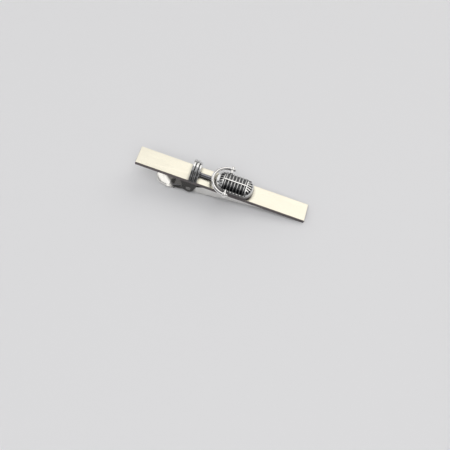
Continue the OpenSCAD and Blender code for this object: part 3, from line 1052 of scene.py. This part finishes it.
def build_spine(materials):
    """The spine bar along the ribs, with rounded edges and ends."""
    low, high = span("spine_bar")
    half = (high[1] - low[1]) / 2
    section = rounded([(half, -0.3), (half, 0.0), (-half, 0.0), (-half, -0.3)], [0, 0.14, 0.14, 0], 5)
    ends = [(0.0, 0.12, 0.7), (0.06, 0.03, 0.92), (0.16, 0, 1)]
    stops = [(low[0] + into, drop, narrow) for into, drop, narrow in ends]
    stops += [(high[0] - into, drop, narrow) for into, drop, narrow in reversed(ends)]
    rows = [[(x, p[0] * narrow, high[2] - drop + p[1]) for p in section] for x, drop, narrow in stops]
    spine = new_mesh("spine_bar_rounded", [closed_tube(rows)])
    seat(spine, materials["yoke_metal"], "bar", ["spine_bar"])


def build_head(materials):
    """The microphone's head: belt, black core, two end caps, ribbed front and spine bar."""
    front_low, front_high = span("front_grille")
    left, right = front_low[0], front_high[0]
    build_belt(materials)
    core = new_mesh("head_core_black", [closed_tube(dome_rings(SKIN - 0.02, 0.0))])
    seat(core, materials["black_enamel"], "bar", ["head_core"], 60)
    build_cap(materials, "crown_grille", (right, CUT_LENGTH), (right + 0.34, CUT_LENGTH),
              fan(5.2, 2.0, 4.75, 0))
    build_cap(materials, "neck_grille", (-CUT_LENGTH, left), (-CUT_LENGTH, left - 0.3),
              fan(2.9, 2.0, 4.35, 180))
    build_ribs(materials, left, right)
    build_spine(materials)


def build_ribs(materials, left, right):
    """The front's cross ribs, with rounded backs, and the rail along each side at their feet."""
    pitch = (right - left) / RIBS
    half = RIB_WIDTH / 2
    section = rounded([(half, -RIB_DEPTH), (half, 0.0), (-half, 0.0), (-half, -RIB_DEPTH)],
                      [0, 0.17, 0.17, 0], 5)
    shapes = []
    for i in range(RIBS):
        points, normals = dome_profile(left + pitch * (i + 0.5))
        shapes.append(strip(points, normals, section))
    ribs = new_mesh("front_grille_ribs", shapes)
    rails = dome_shell()
    keep = block((left, -CUT_WIDTH, 0), (right, CUT_WIDTH, BELT_TOP + RAIL_HEIGHT))
    combine_shape(rails, keep, "INTERSECT")
    soften(rails, 0.05, 2, 40)
    merge(ribs, rails)
    seat(ribs, materials["grille_metal"], "bar", ["front_grille"])


def merge(obj, other):
    """Adds another object's mesh to obj and removes the other object."""
    bm = bmesh.new()
    bm.from_mesh(obj.data)
    bm.from_mesh(other.data)
    bm.to_mesh(obj.data)
    bm.free()
    bpy.data.objects.remove(other)


# ---------------------------------------------------------------- camera and studio

def make_camera():
    """The camera, looking down at the clip from the front and its right."""
    azimuth, elevation = math.radians(CAMERA_AZIMUTH), math.radians(CAMERA_ELEVATION)
    roll = math.radians(CAMERA_ROLL)
    back = Vector((math.sin(azimuth) * math.cos(elevation), -math.cos(azimuth) * math.cos(elevation),
                   math.sin(elevation)))
    right = Vector((math.cos(azimuth), math.sin(azimuth), 0))
    up = back.cross(right)
    leaning = up * math.cos(roll) - right * math.sin(roll)
    camera = bpy.data.objects.new("camera", bpy.data.cameras.new("camera"))
    bpy.context.scene.collection.objects.link(camera)
    turn = Matrix((leaning.cross(back), leaning, back)).transposed()
    camera.matrix_world = Matrix.Translation((Vector(AIM) + back * CAMERA_DISTANCE) * MM) @ turn.to_4x4()
    camera.data.lens = CAMERA_LENS
    camera.data.clip_start, camera.data.clip_end = 0.01, 10
    bpy.context.scene.camera = camera
    bpy.context.scene.view_settings.view_transform = "Standard"


def area_light(name, azimuth, elevation, distance, width, height, power, colour=(1, 1, 1)):
    """A soft box aimed at the clip. Azimuth 0 stands in front of it and 90 at its right."""
    a, e = math.radians(azimuth), math.radians(elevation)
    back = Vector((math.sin(a) * math.cos(e), -math.cos(a) * math.cos(e), math.sin(e)))
    light = bpy.data.lights.new(name, "AREA")
    light.shape = "RECTANGLE"
    light.size, light.size_y = width, height
    light.energy = power
    light.color = colour
    obj = bpy.data.objects.new(name, light)
    bpy.context.scene.collection.objects.link(obj)
    obj.location = back * distance
    obj.rotation_mode = "QUATERNION"
    obj.rotation_quaternion = back.to_track_quat("Z", "Y")
    return obj


def make_floor():
    """A plain pale floor just under the clip."""
    half = 3.0
    mesh = bpy.data.meshes.new("floor")
    mesh.from_pydata([(-half, -half, 0), (half, -half, 0), (half, half, 0), (-half, half, 0)], [],
                     [(0, 1, 2, 3)])
    floor = bpy.data.objects.new("floor", mesh)
    floor.location.z = -0.00002
    bpy.context.scene.collection.objects.link(floor)
    material = bpy.data.materials.new("floor")
    material.use_nodes = True
    tree = material.node_tree
    shader = tree.nodes["Principled BSDF"]
    shader.inputs["Roughness"].default_value = 0.7
    clouds = node_of(tree, "ShaderNodeTexNoise", Scale=4.0, Detail=2.0)
    tone = node_of(tree, "ShaderNodeValToRGB")
    tone.color_ramp.elements[0].color = (0.76, 0.76, 0.77, 1)
    tone.color_ramp.elements[1].color = (0.80, 0.80, 0.81, 1)
    tree.links.new(clouds.outputs["Fac"], tone.inputs["Fac"])
    tree.links.new(tone.outputs["Color"], shader.inputs["Base Color"])
    mesh.materials.append(material)


def make_lights():
    """Three soft boxes and a ceiling that the metal doesn't reflect."""
    area_light("back_box", 147, 50, 0.9, 0.9, 0.85, 2.5, (1.0, 0.985, 0.955))
    area_light("left_box", -80, 35, 0.9, 0.25, 0.4, 0.35)
    area_light("left_back_box", -128, 30, 0.9, 0.5, 0.6, 0.85)
    ceiling = area_light("ceiling", 10, 62, 1.2, 1.0, 1.0, 8.0)
    ceiling.visible_glossy = False


def make_room():
    """The room that the metal reflects: greys that change with height."""
    world = bpy.data.worlds.new("room")
    bpy.context.scene.world = world
    world.use_nodes = True
    tree = world.node_tree
    background = tree.nodes["Background"]
    place = node_of(tree, "ShaderNodeTexCoord")
    split = node_of(tree, "ShaderNodeSeparateXYZ")
    ramp = node_of(tree, "ShaderNodeValToRGB")
    elements = ramp.color_ramp.elements
    elements.remove(elements[1])
    for i, (height, grey) in enumerate(ROOM_GREYS):
        stop = elements.new(height) if i else elements[0]
        stop.color = (grey, grey, grey * 1.02, 1)
    tree.links.new(place.outputs["Generated"], split.inputs["Vector"])
    tree.links.new(split.outputs["Z"], ramp.inputs["Fac"])
    tree.links.new(ramp.outputs["Color"], background.inputs["Color"])
    background.inputs["Strength"].default_value = 1.0


make_camera()
make_floor()
make_lights()
make_room()
MATERIALS = make_materials()
build_bar(MATERIALS)
build_clasp(MATERIALS)
build_discs(MATERIALS)
build_stem(MATERIALS)
build_yoke(MATERIALS)
build_head(MATERIALS)
